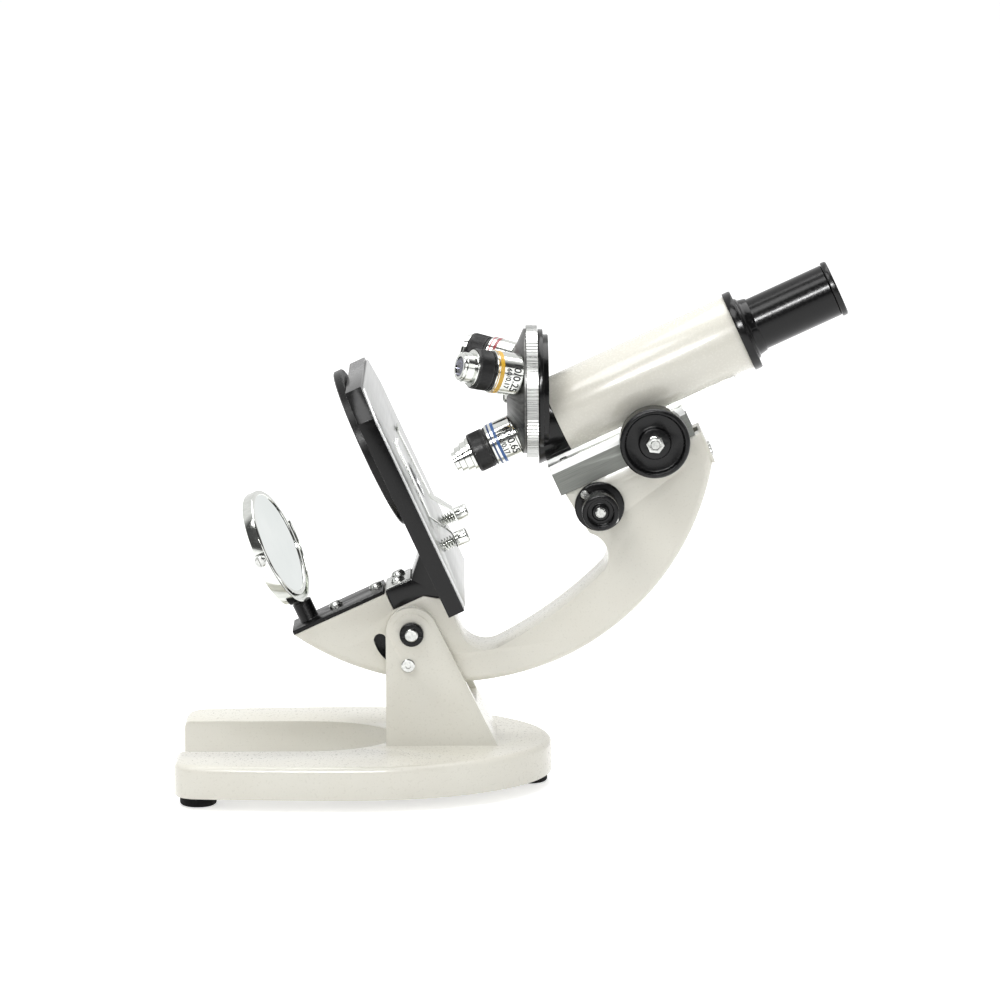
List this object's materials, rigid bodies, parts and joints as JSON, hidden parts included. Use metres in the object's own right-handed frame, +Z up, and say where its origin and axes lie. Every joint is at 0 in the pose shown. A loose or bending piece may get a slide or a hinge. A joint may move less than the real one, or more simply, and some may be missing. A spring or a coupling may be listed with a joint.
{
  "type": "monocular student microscope",
  "caption": "Student microscope leaned back on a horseshoe base: monocular tube, three objectives on a turret, square stage with clips, disc diaphragm and mirror.",
  "frame": {"origin": "centre of the whole model's box in plan, on the table under the feet", "axes": "+X from the base's prongs to the eyepiece, +Y across the arm, +Z up"},
  "size_m": [0.3116, 0.128, 0.246],
  "materials": {
    "base_enamel": "gloss enamel",
    "arm_enamel": "gloss enamel on a die casting",
    "tube_enamel": "gloss enamel on drawn tube",
    "plate_enamel": "gloss enamel",
    "black_enamel": "black satin enamel",
    "black_plate": "black gloss enamel",
    "black_plastic": "moulded, glossy",
    "eyepiece_black": "black anodised",
    "grip_black": "black anodised, knurled",
    "rubber": "matt",
    "bright_steel": "turned and plated",
    "chrome": "polished",
    "stage_silver": "satin plate",
    "guide_metal": "dark machined",
    "slide_metal": "bright machined",
    "turret_metal": "dark satin anodised",
    "ring_metal": "satin, knurled rim",
    "mirror_glass": "silvered glass",
    "lens_glass": "coated"
  },
  "bodies": {
    "base": {"base_casting": "base_enamel", "rubber_feet": "rubber", "pivot_bolt": "bright_steel", "pivot_nuts": "black_plate", "tilt_stop_screw": "bright_steel"},
    "arm": {"arm_casting": "arm_enamel", "end_plate": "plate_enamel", "small_screws": "bright_steel", "stage_casting": "black_enamel", "stage_plate": "stage_silver", "stage_strip": "bright_steel", "pan_screws": "bright_steel", "disc_pivot": "bright_steel", "clip_posts": "chrome", "clip_springs": "chrome", "mirror_bracket": "black_plate", "fine_flanges": "black_enamel"},
    "disc": {"disc_diaphragm": "black_plate"},
    "clip_near": {"clip_leaf_near": "chrome"},
    "clip_far": {"clip_leaf_far": "chrome"},
    "fork": {"mirror_fork": "chrome", "trunnion_screws": "bright_steel"},
    "mirror": {"mirror_cell": "chrome", "plane_mirror": "mirror_glass", "concave_mirror": "mirror_glass"},
    "guide": {"guide_block": "guide_metal", "guide_gibs": "slide_metal", "gib_screws": "bright_steel", "fine_follower": "bright_steel"},
    "fine_shaft": {"fine_cam_shaft": "bright_steel", "fine_knobs": "black_plastic", "fine_knob_screws": "bright_steel"},
    "coarse_shaft": {"coarse_pinion_shaft": "bright_steel", "coarse_knobs": "black_plastic", "coarse_knob_nuts": "bright_steel"},
    "tube": {"body_tube": "tube_enamel", "tube_slide": "slide_metal", "rack": "bright_steel", "tube_flange": "black_enamel", "drawtube": "black_enamel", "nosepiece_mount": "black_enamel", "turret_screw": "bright_steel"},
    "nosepiece": {"turret_dome": "turret_metal", "turret_ring": "ring_metal", "objective_x40_barrel": "chrome", "objective_x40_grip": "grip_black", "objective_x40_nose": "chrome", "objective_x10_barrel": "chrome", "objective_x10_grip": "grip_black", "objective_x10_nose": "chrome", "objective_x4_barrel": "chrome", "objective_x4_grip": "grip_black", "objective_x4_nose": "chrome", "objective_lenses": "lens_glass"},
    "eyepiece": {"eyepiece_barrel": "eyepiece_black", "eyepiece_lenses": "lens_glass"}
  },
  "joints": [
    {"name": "arm_tilt", "type": "hinge", "parent": "base", "child": "arm", "pos_m": [-0.04694, 0, 0.075], "axis": [0, 1, 0], "range_deg": [-65.2, 0]},
    {"name": "disc_turn", "type": "hinge", "parent": "arm", "child": "disc", "pos_m": [-0.06509, 0, 0.15959], "axis": [0.9078, 0, 0.4195], "continuous": true},
    {"name": "clip_near_swing", "type": "hinge", "parent": "arm", "child": "clip_near", "pos_m": [-0.02831, -0.031, 0.12051], "axis": [0.9078, 0, 0.4195], "range_deg": [-20, 40]},
    {"name": "clip_far_swing", "type": "hinge", "parent": "arm", "child": "clip_far", "pos_m": [-0.02831, 0.031, 0.12051], "axis": [0.9078, 0, 0.4195], "range_deg": [-40, 20]},
    {"name": "mirror_swivel", "type": "hinge", "parent": "arm", "child": "fork", "pos_m": [-0.09783, 0, 0.08453], "axis": [0.4195, 0, -0.9078], "range_deg": [-70, 80]},
    {"name": "mirror_turn", "type": "hinge", "parent": "fork", "child": "mirror", "pos_m": [-0.11112, 0, 0.11331], "axis": [0.1732, 0.9816, 0.08], "continuous": true},
    {"name": "fine_focus", "type": "slide", "parent": "arm", "child": "guide", "axis": [0.9078, 0, 0.4195], "range_m": [-0.0008, 0.0008]},
    {"name": "fine_knob_turn", "type": "hinge", "parent": "arm", "child": "fine_shaft", "pos_m": [0.04034, 0, 0.13406], "axis": [0, 1, 0], "range_deg": [-140, 140]},
    {"name": "coarse_focus", "type": "slide", "parent": "guide", "child": "tube", "axis": [0.9078, 0, 0.4195], "range_m": [-0.0175, 0.022]},
    {"name": "coarse_knob_turn", "type": "hinge", "parent": "guide", "child": "coarse_shaft", "pos_m": [0.06522, 0, 0.16604], "axis": [0, 1, 0], "range_deg": [-252, 317]},
    {"name": "nosepiece_turn", "type": "hinge", "parent": "tube", "child": "nosepiece", "pos_m": [0.01173, 0, 0.18593], "axis": [-0.9999, 0, -0.0105], "continuous": true},
    {"name": "eyepiece_pull", "type": "slide", "parent": "tube", "child": "eyepiece", "axis": [0.9078, 0, 0.4195], "range_m": [0, 0.03]}
  ],
  "couplings": [
    {"joint": "fine_knob_turn", "follows": "fine_focus", "rad_per_m": -2967.1},
    {"joint": "coarse_knob_turn", "follows": "coarse_focus", "rad_per_m": 250}
  ]
}
